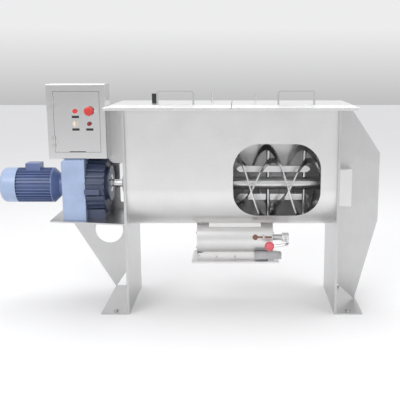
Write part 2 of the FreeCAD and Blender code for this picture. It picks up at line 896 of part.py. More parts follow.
def make_output_case():
    """The second-stage casting: a ribbed drum with a lug in front and the output flange."""
    full = drum_radius
    small = drum_radius - drum_draft
    body = turned([(slab_right, 0), (slab_right, full), (drum_right, small), (drum_right, 0)],
                  0, drum_height)
    ribs = []
    rib_outline = [(slab_right, full - rib_root), (slab_right, full + rib_height),
                   (drum_right - rib_root, small + rib_height), (drum_right, small - rib_root)]
    for i in range(rib_count):
        rib = plate_xz(rib_outline, -rib_thick / 2, rib_thick / 2)
        rib.rotate(Vector(0, 0, 0), Vector(1, 0, 0), 360.0 * (i + 0.5) / rib_count)
        rib.translate(Vector(0, 0, drum_height))
        ribs.append(rib)
    lug_level = drum_height - lug_drop
    lug = block(slab_right, slab_right + lug_reach, -drum_radius - lug_out, lug_root - drum_radius,
                lug_level - lug_height / 2, lug_level + lug_height / 2)
    lug = rounded(lug, (1, 0, 0), lug_corner)
    neck = rod_x(drum_right - neck_root, disc_left, 0, shaft_height, neck_radius)
    disc = rod_x(disc_left, disc_right, 0, shaft_height, disc_radius)
    pads = block(slab_right, drum_right - shaft_hole_gap, -drum_radius * pad_share,
                 drum_radius * pad_share, shelf_height, shelf_height + pad_height)
    case = fused([body, lug, neck, disc, pads] + ribs)
    case = case.cut(block(slab_right, drum_right, -2 * full, 2 * full,
                          shelf_height - full, shelf_height))
    inner_right = drum_right - case_wall
    hollow = turned([(slab_right, 0), (slab_right, full - drum_wall),
                     (inner_right, small - drum_wall), (inner_right, 0)], 0, drum_height)
    case = case.cut(hollow)
    case = case.cut(rod_x(inner_right, inner_right + gear_bearing_depth, lay_back, lay_height,
                          lay_radius + running_gap + gear_bearing_wall))
    case = case.cut(rod_x(inner_right, disc_right, 0, shaft_height,
                          output_radius + running_gap + gear_bearing_wall))
    return drilled(case, make_gearbox_bolts())


def gear_bearing(x0, x1, y, z, radius):
    return ring_x(x0, x1, y, z, radius + running_gap, radius + running_gap + gear_bearing_wall)


def make_gear_bearings():
    inner_left = slab_left + case_wall
    inner_right = drum_right - case_wall
    depth = gear_bearing_depth
    return [gear_bearing(inner_left - depth, inner_left, lay_back, lay_height, lay_radius),
            gear_bearing(inner_right, inner_right + depth, lay_back, lay_height, lay_radius),
            gear_bearing(slab_right - depth, slab_right, 0, shaft_height, output_radius),
            gear_bearing(disc_right - output_bearing_depth, disc_right, 0, shaft_height,
                         output_radius)]


def direction_deg(y, z):
    return math.degrees(math.atan2(z, y))


def lay_to_motor():
    return direction_deg(-lay_back, motor_height - lay_height)


def lay_to_output():
    return direction_deg(-lay_back, shaft_height - lay_height)


def make_motor_pinion():
    gap_angle = lay_to_motor() + 180 + 180.0 / pinion_teeth
    pinion = toothed(pinion_teeth, first_module, first_face, first_gear_left, 0, motor_height,
                     gap_angle)
    return pinion.cut(rod_x(first_gear_left, first_gear_left + first_face, 0, motor_height,
                            pinion_bore()))


def pinion_bore():
    """The pinion sits on a turned-down end of the rotor shaft."""
    return pinion_bore_share * (pinion_teeth * first_module / 2)


def make_lay_gear():
    gear = toothed(wheel_teeth, first_module, first_face, first_gear_left, lay_back, lay_height,
                   lay_to_motor())
    return gear.cut(rod_x(first_gear_left, first_gear_left + first_face, lay_back, lay_height,
                          lay_radius))


def make_lay_shaft():
    """The lay shaft with its second-stage pinion cut from the same bar."""
    left = slab_left + case_wall - gear_bearing_depth
    right = drum_right - case_wall + gear_bearing_depth
    pinion = toothed(pinion_teeth, second_module, second_face, second_gear_left,
                     lay_back, lay_height, lay_to_output())
    root = second_module * (pinion_teeth / 2 - tooth_root)
    narrow_left = second_gear_left
    narrow_right = second_gear_left + second_face
    return fused([rod_x(left, narrow_left, lay_back, lay_height, lay_radius),
                  rod_x(narrow_left, narrow_right, lay_back, lay_height, root),
                  rod_x(narrow_right, right, lay_back, lay_height, lay_radius),
                  pinion])


def output_key():
    return block(slab_right + shaft_hole_gap, drum_right, -key_width / 2, key_width / 2,
                 shaft_height + journal_radius - key_depth, shaft_height + journal_radius + key_depth)


def make_output_gear():
    gap_angle = lay_to_output() + 180 + 180.0 / wheel_teeth
    wheel = toothed(wheel_teeth, second_module, second_face, second_gear_left, 0, shaft_height,
                    gap_angle)
    sleeve = rod_x(slab_right - gear_bearing_depth, disc_right + output_nose, 0, shaft_height,
                   output_radius)
    bore = rod_x(slab_left, outer_face, 0, shaft_height, journal_radius)
    return wheel.fuse(sleeve).cut(bore).cut(output_key()).removeSplitter()


def make_gearbox_bolts():
    """Screwed up through the shelf into both castings."""
    bolts = []
    under = shelf_height - shelf_sheet
    for x in ((slab_left + slab_right) / 2, (slab_right + drum_right) / 2):
        for y in (-drum_radius * gearbox_bolt_share, drum_radius * gearbox_bolt_share):
            bolts.append(bolt((x, y, under), (0, 0, -1), bolt_thread,
                              shelf_sheet + gearbox_bolt_depth))
    return bolts


# ---- motor ----
def make_motor_housing():
    """A finned barrel with a conical drive end, open at the fan end."""
    neck_left = shield_right
    fin_end = motor_right - fin_end_gap
    profile = [(motor_left, 0), (motor_left, motor_core_radius), (fin_end, motor_core_radius),
               (fin_end, motor_radius), (motor_right, motor_radius),
               (neck_left, shield_radius), (slab_left, shield_radius), (slab_left, 0)]
    pieces = [turned(profile, 0, motor_height)]
    for i in range(fin_count):
        fin = block(motor_left, fin_end, -fin_thick / 2, fin_thick / 2,
                    motor_core_radius - fin_root, motor_radius)
        fin.rotate(Vector(0, 0, 0), Vector(1, 0, 0), 360.0 * (i + 0.5) / fin_count)
        fin.translate(Vector(0, 0, motor_height))
        pieces.append(fin)
    housing = fused(pieces)
    bore_right = motor_right + motor_bell
    hollow = turned([(motor_left + motor_bearing_wall, 0), (motor_left + motor_bearing_wall, motor_bore),
                     (motor_right, motor_bore), (bore_right, motor_bore - motor_bell_step),
                      (bore_right, 0)],
                    0, motor_height)
    housing = housing.cut(hollow)
    through = rod_x(motor_left, slab_left, 0, motor_height, rotor_shaft_radius + motor_through_gap)
    housing = housing.cut(through)
    for x0, x1 in motor_bearing_places():
        housing = housing.cut(rod_x(x0, x1, 0, motor_height,
                                    rotor_shaft_radius + running_gap + motor_bearing_wall))
    seat_cut = block(terminal_left, terminal_right, -terminal_half_depth, terminal_half_depth,
                     terminal_low, terminal_high)
    return housing.cut(seat_cut)


def motor_bearing_places():
    drive_end = motor_right + motor_bell
    return [(motor_left, motor_left + motor_bearing_width),
            (drive_end, drive_end + motor_bearing_width)]


def make_motor_bearings():
    inside = rotor_shaft_radius + running_gap
    return [ring_x(x0, x1, 0, motor_height, inside, inside + motor_bearing_wall)
            for x0, x1 in motor_bearing_places()]


def make_stator():
    return ring_x(stator_left, stator_right, 0, motor_height, stator_radius, motor_bore)


def make_rotor():
    core = rod_x(stator_left, stator_right, 0, motor_height, stator_radius - rotor_gap)
    fan_end = motor_left - fan_width - 2 * fan_gap
    shaft = rod_x(fan_end, first_gear_left, 0, motor_height, rotor_shaft_radius)
    nose = rod_x(first_gear_left, first_gear_left + first_face, 0, motor_height, pinion_bore())
    return fused([core, shaft, nose])


def make_fan():
    right = motor_left - fan_gap
    left = right - fan_width
    hub_outside = rotor_shaft_radius + fan_hub_wall
    hub = rod_x(left, right, 0, motor_height, hub_outside)
    disc = rod_x(right - fan_disc, right, 0, motor_height, fan_radius)
    pieces = [hub, disc]
    for i in range(fan_blades):
        blade = block(left, right, -fan_blade_half, fan_blade_half,
                      (rotor_shaft_radius + hub_outside) / 2, fan_radius)
        blade.rotate(Vector(0, 0, 0), Vector(1, 0, 0), 360.0 * i / fan_blades)
        blade.translate(Vector(0, 0, motor_height))
        pieces.append(blade)
    return fused(pieces).cut(rod_x(left, right, 0, motor_height, rotor_shaft_radius))


def end_edges(shape, x):
    return [edge for edge in shape.Edges if abs(edge.BoundBox.XMax - x) < 1e-6]


def make_fan_cover():
    """A domed cap over the fan, with a ring of air slots in its end."""
    outside = rod_x(fan_cover_left, motor_left, 0, motor_height, fan_cover_radius)
    outside = outside.makeFillet(fan_cover_corner, end_edges(outside, fan_cover_left))
    inside = rod_x(fan_cover_left + fan_cover_sheet, motor_left, 0, motor_height,
                   fan_cover_radius - fan_cover_sheet)
    inside = inside.makeFillet(fan_cover_corner - fan_cover_sheet,
                               end_edges(inside, fan_cover_left + fan_cover_sheet))
    cover = outside.cut(inside)
    slot = block(fan_cover_left, fan_cover_left + 2 * fan_cover_sheet,
                 -fan_slot_half, fan_slot_half, fan_slot_start, fan_slot_end)
    slots = []
    for i in range(fan_slot_count):
        cut = slot.copy()
        cut.rotate(Vector(0, 0, 0), Vector(1, 0, 0), 360.0 * i / fan_slot_count)
        cut.translate(Vector(0, 0, motor_height))
        slots.append(cut)
    return cover.cut(Part.makeCompound(slots))


def make_terminal_box():
    outside = block(terminal_left, terminal_right, -terminal_half_depth, terminal_half_depth,
                    terminal_low, terminal_high)
    outside = outside.makeFillet(terminal_wall, [edge for edge in outside.Edges
                                                 if edge.BoundBox.ZMin > terminal_high - 1e-6])
    wall = terminal_wall
    inside = block(terminal_left + wall, terminal_right - wall, wall - terminal_half_depth,
                   terminal_half_depth - wall, terminal_low + wall, terminal_high - wall)
    return outside.cut(inside)


# ---- drive bracket ----
def make_shelf():
    far = shelf_far
    near = -outer_face
    depth = end_plate_depth / 2
    points = [(far, -shelf_front_depth), (near, -depth), (near, depth), (far, shelf_front_depth)]
    plate = plate_xy(points, shelf_height - shelf_sheet, shelf_height)
    return drilled(plate, make_gearbox_bolts())


def make_brace():
    near = -outer_face
    top = shelf_height - shelf_sheet
    points = [(shelf_far + brace_inset, top), (near, top), (near, brace_root_height),
              (near - brace_tip_reach, brace_tip_height)]
    plate = plate_xz(points, -brace_sheet / 2, brace_sheet / 2)
    return plate.cut(rod_y(near - brace_hole_reach, -brace_sheet, brace_sheet, brace_hole_height,
                           brace_hole_radius))


def back_plate_front():
    return drum_radius + rib_height + back_plate_gap


def make_back_plate():
    near = -outer_face
    front = back_plate_front()
    plate = block(near - back_plate_reach, near, front, front + back_plate_sheet,
                  shelf_height, back_plate_high)
    slot = block(near - slot_left_reach, near - slot_right_reach, front,
                 front + back_plate_sheet, slot_low, slot_high)
    return plate.cut(rounded(slot, (0, 1, 0), slot_corner))


def make_box_plate():
    """The plate that carries the control box, with a rounded lower corner."""
    near = -outer_face
    plate = block(near - box_plate_reach, near, 0, back_plate_sheet, box_plate_low, flange_under)
    relief = block(near - box_plate_reach, near - box_plate_step, 0, back_plate_sheet,
                   box_plate_low, box_plate_raised)
    plate = plate.cut(relief)
    corner = [edge for edge in plate.Edges if edge.BoundBox.XLength + edge.BoundBox.ZLength < 1e-6
              and abs(edge.BoundBox.XMin - near + box_plate_step) < 1e-6
              and edge.BoundBox.ZMin < box_plate_low + 1e-6]
    return plate.makeFillet(box_plate_corner, corner)


# ---- control box ----
def box_front():
    return -box_depth


def make_control_box():
    outside = block(box_left, box_right, -box_depth, 0, box_low, box_high)
    outside = outside.makeFillet(box_corner, [edge for edge in outside.Edges
                                              if abs(edge.BoundBox.YMax + box_depth) < 1e-6])
    inside = block(box_left + box_sheet, box_right - box_sheet, box_sheet - box_depth,
                   -box_sheet, box_low + box_sheet, box_high - box_sheet)
    mouth = block(door_left - door_gap, door_right + door_gap, -box_depth,
                  box_sheet - box_depth, door_low - door_gap, door_high + door_gap)
    keeper_left = door_right + door_gap
    keeper = block(keeper_left, keeper_left + keeper_reach, box_sheet - box_depth,
                   box_depth_of_cam() - fit_gap, row_high - keeper_half, row_high + keeper_half)
    return outside.cut(inside).cut(mouth).fuse(keeper).removeSplitter()


def box_depth_of_cam():
    return box_front() + door_return


def panel_places():
    """Stop mushroom, start button, selector and second stop button."""
    return [(column_right, row_high), (column_left, row_high),
            (column_left, row_low), (column_right, row_low)]


def make_door():
    front = box_front()
    skin = block(door_left, door_right, front, front + door_sheet, door_low, door_high)
    frame = block(door_left + 2 * door_return, door_right - door_sheet, front, front + door_return,
                  door_low + door_sheet, door_high - door_sheet)
    frame = frame.cut(block(door_left + 2 * door_return + door_sheet, door_right - 2 * door_sheet,
                            front + door_sheet, front + door_return,
                            door_low + 2 * door_sheet, door_high - 2 * door_sheet))
    door = fused([skin, frame])
    middle = (door_left + door_right) / 2 - pull_shift
    pull = block(middle - pull_width / 2, middle + pull_width / 2, front, front + door_return,
                 door_low, door_low + pull_height)
    door = door.cut(pull)
    for x, z in panel_places():
        door = door.cut(rod_y(x, front, front + door_return, z, panel_hole))
    latch = rod_y(door_right - latch_inset, front, front + door_return, row_high, stem_radius)
    door = door.cut(latch)
    for low, high in door_knuckle_places()[1]:
        door = door.fuse(half_hinge(low, high, 1))
    return door.cut(door_pin_bore()).removeSplitter()


def door_pin_place():
    """The hinge pin stands just in front of the box, at the door's left edge."""
    return door_left - door_gap / 2, box_front() - door_pin_radius - door_knuckle_wall - fit_gap


def door_hinge_middles():
    return (door_low + door_hinge_inset, door_high - door_hinge_inset)


def door_knuckle_places():
    """Heights of the knuckles on the box and on the door, for two hinges."""
    box_ones = []
    door_ones = []
    half = door_knuckle_length / 2
    whole = door_hinge_length / 2
    for middle in door_hinge_middles():
        box_ones += [(middle - whole, middle - half - knuckle_gap),
                     (middle + half + knuckle_gap, middle + whole)]
        door_ones.append((middle - half, middle + half))
    return box_ones, door_ones


def half_hinge(low, high, way):
    """A knuckle round the pin, joined to the sheet beside it by a leaf."""
    x, y = door_pin_place()
    front = box_front()
    barrel = rod_z(x, y, low, high, door_pin_radius + door_knuckle_wall)
    ends = sorted((x + way * door_leaf, x + way * door_leaf_reach))
    leaf = block(ends[0], ends[1], front - door_leaf, front, low, high)
    ends = sorted((x, x + way * (door_pin_radius + door_knuckle_wall)))
    link = block(ends[0], ends[1], y, front, low, high)
    return fused([barrel, leaf, link])


def door_pin_bore():
    x, y = door_pin_place()
    return rod_z(x, y, door_low, door_high, door_pin_radius + running_gap)


def make_box_knuckles():
    return [half_hinge(low, high, -1).cut(door_pin_bore()) for low, high in door_knuckle_places()[0]]


def make_door_pins():
    x, y = door_pin_place()
    pins = []
    for middle in door_hinge_middles():
        top = middle + door_hinge_length / 2
        pins.append(fused([rod_z(x, y, middle - door_hinge_length / 2, top, door_pin_radius),
                           rod_z(x, y, top, top + door_leaf,
                                 door_pin_radius + door_knuckle_wall)]))
    return pins


def make_latch():
    """A quarter-turn latch, open while its cam points up."""
    x = door_right - latch_inset
    front = box_front()
    knob_front = front - latch_knob_thick
    knob = rod_y(x, knob_front, front - fit_gap, row_high, latch_knob_radius)
    grip_reach = latch_knob_radius - 1
    grip = block(x - latch_grip_half, x + latch_grip_half, knob_front - latch_grip, knob_front,
                 row_high - grip_reach, row_high + grip_reach)
    cam_front = box_depth_of_cam()
    stem = rod_y(x, front - fit_gap, cam_front, row_high, stem_radius - running_gap)
    reach = latch_inset + door_gap + latch_overlap
    cam = block(x - latch_cam_half, x + latch_cam_half, cam_front, cam_front + latch_cam_sheet,
                row_high - latch_cam_half, row_high + reach)
    return fused([knob, grip, stem, cam])


def button_ring(x, z, outside, reach):
    front = box_front()
    ring = rod_y(x, front - reach, front, z, outside)
    body = rod_y(x, front, front + barrel_reach, z, panel_hole)
    bore = rod_y(x, front - reach, front + barrel_bore, z, stem_radius + running_gap)
    return fused([ring, body]).cut(bore)


def make_button_rings():
    return [button_ring(x, z, size, reach) for (x, z), (size, reach) in zip(panel_places(), ring_sizes)]


def pushed(place, head_radius, head_length, corner, travel):
    """A button head on a stem; the head stays clear of its ring over the whole travel."""
    x, z = panel_places()[place]
    front = box_front()
    head_back = front - ring_sizes[place][1] - travel - fit_gap
    head = rod_y(x, head_back - head_length, head_back, z, head_radius)
    stem = rod_y(x, head_back, front + barrel_bore - travel - fit_gap, z, stem_radius)
    head = head.makeFillet(corner, [edge for edge in head.Edges
                                    if abs(edge.BoundBox.YMax - head_back + head_length) < 1e-6])
    return fused([head, stem])


def make_estop():
    return pushed(0, estop_radius, estop_head, estop_head * 0.6, estop_travel)


def make_start_button():
    return pushed(1, start_radius, button_head, button_head / 4, button_travel)


def make_stop_button():
    return pushed(3, stop_radius, button_head, button_head / 4, button_travel)


def make_selector():
    """A tapered handle that stands upright in its middle position."""
    x, z = panel_places()[2]
    front = box_front()
    back = front - ring_sizes[2][1] - fit_gap
    base_front = back - selector_base
    base = rod_y(x, base_front, back, z, start_radius)
    grip = plate_xz([(x - selector_half_low, z - selector_low),
                     (x + selector_half_low, z - selector_low),
                     (x + selector_half_high, z + selector_high),
                     (x - selector_half_high, z + selector_high)],
                    base_front - selector_grip, base_front)
    stem = rod_y(x, back, front + barrel_bore - fit_gap, z, stem_radius)
    return fused([base, grip, stem])


def make_labels():
    front = box_front()
    plates = []
    for x, z in panel_places()[1:]:
        plates.append(block(x - label_width / 2, x + label_width / 2, front - label_sheet, front,
                            z - label_drop - label_height / 2, z - label_drop + label_height / 2))
    return plates


def make_contact_blocks():
    front = box_front()
    blocks = []
    for x, z in panel_places():
        blocks.append(block(x - contact_half_width, x + contact_half_width,
                            front + barrel_reach, front + barrel_reach + contact_depth,
                            z - contact_half_height, z + contact_half_height))
    return blocks


def plate_front():
    """Front face of the mounting plate inside the box."""
    return -box_sheet - spacer_length - mount_plate_sheet


def make_mounting_plate():
    return block(box_left + mount_plate_inset, box_right - mount_plate_inset,
                 plate_front(), plate_front() + mount_plate_sheet,
                 box_low + mount_plate_inset, box_high - mount_plate_inset)


def make_plate_spacers():
    spacers = []
    for x in (box_left + spacer_inset, box_right - spacer_inset):
        for z in (box_low + spacer_inset, box_high - spacer_inset):
            spacers.append(rod_y(x, -box_sheet - spacer_length, -box_sheet, z, spacer_radius))
    return spacers


def make_contactor():
    """A block with a raised middle, low on the left of the mounting plate."""
    front = plate_front()
    left = box_left + contactor_inset
    low = box_low + contactor_inset
    body = block(left, left + contactor_width, front - contactor_depth, front,
                 low, low + contactor_height)
    step = block(left + contactor_step, left + contactor_width - contactor_step,
                 front - contactor_depth - contactor_step, front - contactor_depth,
                 low + 2 * contactor_step, low + contactor_height - 2 * contactor_step)
    return fused([body, step])


def make_terminal_strip():
    """Terminals side by side on a rail, to the right of the contactor."""
    front = plate_front()
    left = box_left + contactor_inset + contactor_width + terminal_pitch
    low = box_low + contactor_inset
    rail_length = terminal_count * terminal_pitch + 2 * rail_end
    pieces = [block(left, left + rail_length, front - rail_depth, front, low, low + rail_height)]
    for i in range(terminal_count):
        x0 = left + rail_end + i * terminal_pitch
        pieces.append(block(x0, x0 + terminal_pitch - 2, front - terminal_depth, front - rail_depth,
                            low - rail_end, low + rail_height + rail_end))
    return fused(pieces)


# ---- lids ----
def lid_solid(inset, low, high):
    """A hipped solid over the right-hand opening: upright at the split, bevelled on three sides."""
    x0, x1 = lid_split + inset, flange_end - inset
    y0, y1 = inset - flange_front, lid_back - inset
    base = [(x0, y0), (x1, y0), (x1, y1), (x0, y1)]
    top = [(x0, y0 + lid_bevel), (x1 - lid_bevel, y0 + lid_bevel),
           (x1 - lid_bevel, y1 - lid_bevel), (x0, y1 - lid_bevel)]
    wires = []
    for points, z in ((base, low), (top, high)):
        corners = [Vector(x, y, z) for x, y in points]
        wires.append(Part.makePolygon(corners + corners[:1]))
    return Part.makeLoft(wires, True, True)


def make_lid(side):
    rim = block(lid_split, flange_end, -flange_front, lid_back, seat, seat + lid_sheet)
    pan = lid_solid(0, seat + lid_sheet, crown)
    hollow = lid_solid(lid_rim, seat, crown - lid_sheet)
    lid = fused([rim, pan]).cut(hollow)
    if side < 0:
        lid = lid.mirror(Vector(0, 0, 0), Vector(1, 0, 0))
    return lid


def make_gasket(side):
    """A flat seal bonded under the lid's rim."""
    outer = block(lid_split + gasket_inset, flange_end - gasket_inset,
                  gasket_inset - flange_front, lid_back - gasket_inset, rim_height, seat)
    edge = gasket_inset + gasket_width
    inner = block(lid_split + edge, flange_end - edge, edge - flange_front, lid_back - edge,
                  rim_height, seat)
    gasket = outer.cut(inner)
    if side < 0:
        gasket = gasket.mirror(Vector(0, 0, 0), Vector(1, 0, 0))
    return gasket


def make_handle(x):
    """A flat bar bent to a U, standing on the lid."""
    half = handle_length / 2
    low = crown
    high = crown + handle_height
    y0 = handle_back - handle_width / 2
    y1 = handle_back + handle_width / 2
    outside = block(x - half, x + half, y0, y1, low, high)
    inside = block(x - half + handle_sheet, x + half - handle_sheet, y0, y1,
                   low, high - handle_sheet)
    outside = rounded_top(outside, handle_corner, high)
    inside = rounded_top(inside, handle_corner - handle_sheet / 2, high - handle_sheet)
    return outside.cut(inside)


def rounded_top(shape, radius, top):
    edges = [edge for edge in shape.Edges
             if edge.BoundBox.ZMin > top - 1e-6 and edge.BoundBox.XLength < 1e-6]
    return shape.makeFillet(radius, edges)


def make_post(x):
    post = rod_z(x, post_back, crown, crown + post_height, post_radius)
    foot = rod_z(x, post_back, crown, crown + post_collar, post_radius + post_collar)
    return fused([post, foot])


def make_sensor():
    body = block(sensor_x - sensor_width / 2, sensor_x + sensor_width / 2,
                 sensor_back - sensor_depth / 2, sensor_back + sensor_depth / 2,
                 crown, crown + sensor_height)
    return rounded(body, (0, 0, 1), sensor_corner)


def hinge_middles():
    return [side * (lid_middle + offset) for side in (-1, 1) for offset in (-hinge_offset, hinge_offset)]


def hinge_bore(x):
    return rod_x(x - 2 * knuckle_length, x + 2 * knuckle_length, hinge_back, hinge_height,
                 hinge_pin_radius + running_gap)


def make_frame_leaves():
    """Two knuckles and a leaf on the flange for each hinge."""
    leaves = []
    for x in hinge_middles():
        half = 1.5 * knuckle_length
        inner = knuckle_length / 2 + knuckle_gap
        pieces = []
        for x0, x1 in ((x - half, x - inner), (x + inner, x + half)):
            pieces.append(rod_x(x0, x1, hinge_back, hinge_height, knuckle_radius))
            pieces.append(block(x0, x1, hinge_back + knuckle_radius - hinge_leaf,
                                hinge_back + knuckle_radius, rim_height, hinge_height))
        pieces.append(block(x - half, x + half, hinge_back + knuckle_radius - hinge_leaf,
                            flange_back, rim_height, rim_height + hinge_foot))
        leaves.append(fused(pieces).cut(hinge_bore(x)))
    return leaves


def make_lid_leaves(side):
    """One knuckle and a leaf on the lid's back rim for each hinge."""
    leaves = []
    for x in hinge_middles():
        if x * side < 0:
            continue
        half = knuckle_length / 2
        barrel = rod_x(x - half, x + half, hinge_back, hinge_height, knuckle_radius)
        strap = block(x - half, x + half, lid_back, hinge_back,
                      seat, seat + lid_sheet)
        foot = block(x - 1.5 * knuckle_length, x + 1.5 * knuckle_length,
                     lid_back, lid_back + hinge_leaf, seat - hinge_foot, seat + lid_sheet)
        leaves.append(fused([barrel, strap, foot]).cut(hinge_bore(x)))
    return leaves


def make_hinge_pins():
    return [rod_x(x - 1.5 * knuckle_length, x + 1.5 * knuckle_length, hinge_back, hinge_height,
                  hinge_pin_radius) for x in hinge_middles()]


# ---- discharge valve ----
def valve_axis_rod(x0, x1, radius):
    return rod_x(x0, x1, 0, valve_height, radius)


def make_valve_body():
    """The drum housing, saddled to the trough, with a port above and below."""
    drum = valve_axis_rod(valve_left, valve_right, valve_radius)
    half = port_width / 2 + port_wall
    throat = block(port_left - port_wall, port_right + port_wall, -half, half,
                   valve_height, shaft_height - trough_radius * throat_share)
    lug = latch_lug(valve_right - 5 * latch_lug_thick, latch_lug_thick)
    body = fused([drum, throat, lug])
    body = body.cut(rod_x(valve_left, valve_right, 0, shaft_height, wall_radius))
    body = body.cut(block(port_left, port_right, -port_width / 2, port_width / 2,
                          valve_height - 2 * valve_radius, shaft_height))
    body = body.cut(valve_axis_rod(valve_left, valve_right, bore_radius))
    return drilled(body.cut(latch_bolt_bore()), make_cap_screw_holes())


def latch_lug(x, thick):
    """A lug for the latch bolt, standing on the front of the drum."""
    half = latch_bolt_radius + latch_lug_wall
    lug = rod_x(x, x + thick, latch_bolt_back, latch_bolt_height, half)
    root = block(x, x + thick, latch_bolt_back, -bore_radius,
                 latch_bolt_height - half, latch_bolt_height + half)
    return lug.fuse(root)


def latch_bolt_bore():
    return rod_x(latch_bolt_left, lever_knee_x, latch_bolt_back, latch_bolt_height,
                 latch_bolt_radius + running_gap)


def make_latch_bolt():
    """A hand bolt that runs through a lug on the housing into a lug on the end cap."""
    knob_right = latch_bolt_left + latch_bolt_knob / 2
    stem = rod_x(knob_right, cap_right + latch_bolt_tip, latch_bolt_back, latch_bolt_height,
                 latch_bolt_radius)
    knob_front = latch_bolt_back - latch_bolt_knob / 2
    knob = rod_y(latch_bolt_left, knob_front, latch_bolt_back + latch_bolt_out - 1,
                 latch_bolt_height, latch_bolt_knob)
    button = rod_y(latch_bolt_left, knob_front - latch_bolt_out, knob_front, latch_bolt_height,
                   latch_bolt_knob / 2)
    return fused([stem, knob, button])


def plug_radius():
    return bore_radius - plug_gap


def make_valve_plug():
    """A drum with a slot through it, level when shut and upright when open."""
    radius = plug_radius()
    plug = valve_axis_rod(valve_left + plug_end_gap, valve_right - plug_end_gap, radius)
    slot = block(port_left, port_right, -valve_radius, valve_radius,
                 valve_height - port_width / 2, valve_height + port_width / 2)
    plug = plug.cut(slot)
    for x0, x1 in ((valve_left - cap_thick, valve_left + plug_end_gap),
                   (valve_right - plug_end_gap, hub_left + hub_socket)):
        plug = plug.fuse(valve_axis_rod(x0, x1, valve_journal))
    return plug.removeSplitter()


def valve_cap(x0, x1):
    cap = valve_axis_rod(x0, x1, valve_radius)
    cap = cap.cut(rod_x(x0, x1, 0, shaft_height, wall_radius))
    return cap.cut(valve_axis_rod(x0, x1, valve_journal + running_gap))


def make_left_cap():
    return drilled(valve_cap(valve_left - cap_thick, valve_left), make_cap_screw_holes())


def make_right_cap():
    cap = valve_cap(valve_right, cap_right)
    cap = cap.fuse(latch_lug(valve_right, cap_thick)).removeSplitter().cut(latch_bolt_bore())
    return drilled(cap, make_cap_screw_holes())


def cap_screw_places():
    """Four in each end of the drum's wall: where the head sits, and which way it faces."""
    places = []
    radius = (valve_radius + bore_radius) / 2
    for face, out in ((valve_left - cap_thick, -1), (cap_right, 1)):
        for angle in cap_screw_angles:
            y = radius * math.cos(math.radians(angle))
            z = valve_height + radius * math.sin(math.radians(angle))
            places.append(((face, y, z), out))
    return places


def make_cap_screws():
    return [bolt(seat_point, (out, 0, 0), cap_screw, cap_screw_length)
            for seat_point, out in cap_screw_places()]


def make_cap_screw_holes():
    return [rod(seat_point, (-out, 0, 0), cap_screw / 2, cap_screw_length)
            for seat_point, out in cap_screw_places()]


def make_lever():
    """The chrome hub and the bent arm that carries the ball."""
    hub = valve_axis_rod(hub_left, hub_right, hub_radius)
    hub = hub.makeFillet(hub_corner, [edge for edge in hub.Edges if edge.BoundBox.XLength < 1e-6])
    hub = hub.cut(valve_axis_rod(hub_left, hub_left + hub_socket, valve_journal))
    start = Vector((hub_left + hub_right) / 2, lever_root - hub_radius, valve_height)
    knee = Vector(lever_knee_x, -lever_knee_radius, valve_height)
    end = Vector(ball_x + ball_socket_share * ball_radius, -lever_radius, valve_height)
    before = knee.sub(start).normalize()
    after = end.sub(knee).normalize()
    first = Vector(knee).sub(Vector(before).multiply(lever_bend))
    second = Vector(knee).add(Vector(after).multiply(lever_bend))
    middle = first.add(second).add(Vector(knee).multiply(2)).multiply(0.25)
    path = Part.Wire([Part.makeLine(start, first), Part.Arc(first, middle, second).toShape(),
                      Part.makeLine(second, end)])
    circle = Part.Wire(Part.makeCircle(lever_rod, start, before))
    arm = path.makePipeShell([circle], True, True, 2)
    return fused([hub, arm]).cut(lever_ball_solid())


def lever_ball_solid():
    return Part.makeSphere(ball_radius, Vector(ball_x, -lever_radius, valve_height))


def hood_top():
    """Where the hood's front and back walls meet the drum."""
    return valve_height - math.sqrt(valve_radius**2 - hood_half_depth**2)


def chute_hood(inset):
    """The hood from the drum down to its flange: upright front and back, sloping ends."""
    left = chute_flange_left + chute_rim + inset
    right = chute_flange_right - chute_rim - inset
    depth = hood_half_depth - inset
    outline = [(left, chute_flange_high), (right, chute_flange_high),
               (right - hood_taper, hood_top()), (left + hood_taper, hood_top())]
    return plate_xz(outline, -depth, depth)


def chute_bolt_places():
    xs = [chute_flange_left + chute_bolt_inset, (chute_flange_left + chute_flange_right) / 2,
          chute_flange_right - chute_bolt_inset]
    y = chute_flange_depth - chute_bolt_inset
    return [(x, side * y) for x in xs for side in (-1, 1)]


def make_chute():
    plate = block(chute_flange_left, chute_flange_right, -chute_flange_depth, chute_flange_depth,
                  chute_flange_high - chute_flange_sheet, chute_flange_high)
    hood = chute_hood(0)
    hollow = chute_hood(chute_sheet)
    chute = fused([plate, hood]).cut(hollow)
    rim = chute_rim + chute_sheet
    depth = hood_half_depth - chute_sheet
    chute = chute.cut(block(chute_flange_left + rim, chute_flange_right - rim, -depth, depth,
                            chute_flange_high - chute_flange_sheet, chute_flange_high))
    chute = chute.cut(valve_axis_rod(valve_left - cap_thick, cap_right, valve_radius))
    chute = drilled(chute, make_cap_screws() + make_apron_screws())
    for x, y in chute_bolt_places():
        chute = chute.cut(rod_z(x, y, 0, valve_height, chute_hole))
    return chute


def make_apron():
    """A plate on the front of the hood, with a bowed lower edge."""
    front = apron_front()
    low = chute_flange_high
    high = low + apron_height
    middle = (apron_left + apron_right) / 2
    bow = Part.Arc(Vector(apron_right, front, low), Vector(middle, front, low + apron_sag / 4),
                   Vector(apron_left, front, low + apron_sag))
    sides = [Part.makeLine(Vector(apron_left, front, high), Vector(apron_right, front, high)),
             Part.makeLine(Vector(apron_right, front, high), Vector(apron_right, front, low)),
             bow.toShape(),
             Part.makeLine(Vector(apron_left, front, low + apron_sag),
                           Vector(apron_left, front, high))]
    plate = Part.Face(Part.Wire(sides)).extrude(Vector(0, apron_sheet, 0))
    return drilled(plate, make_apron_screws())


def apron_front():
    return -hood_half_depth - apron_sheet


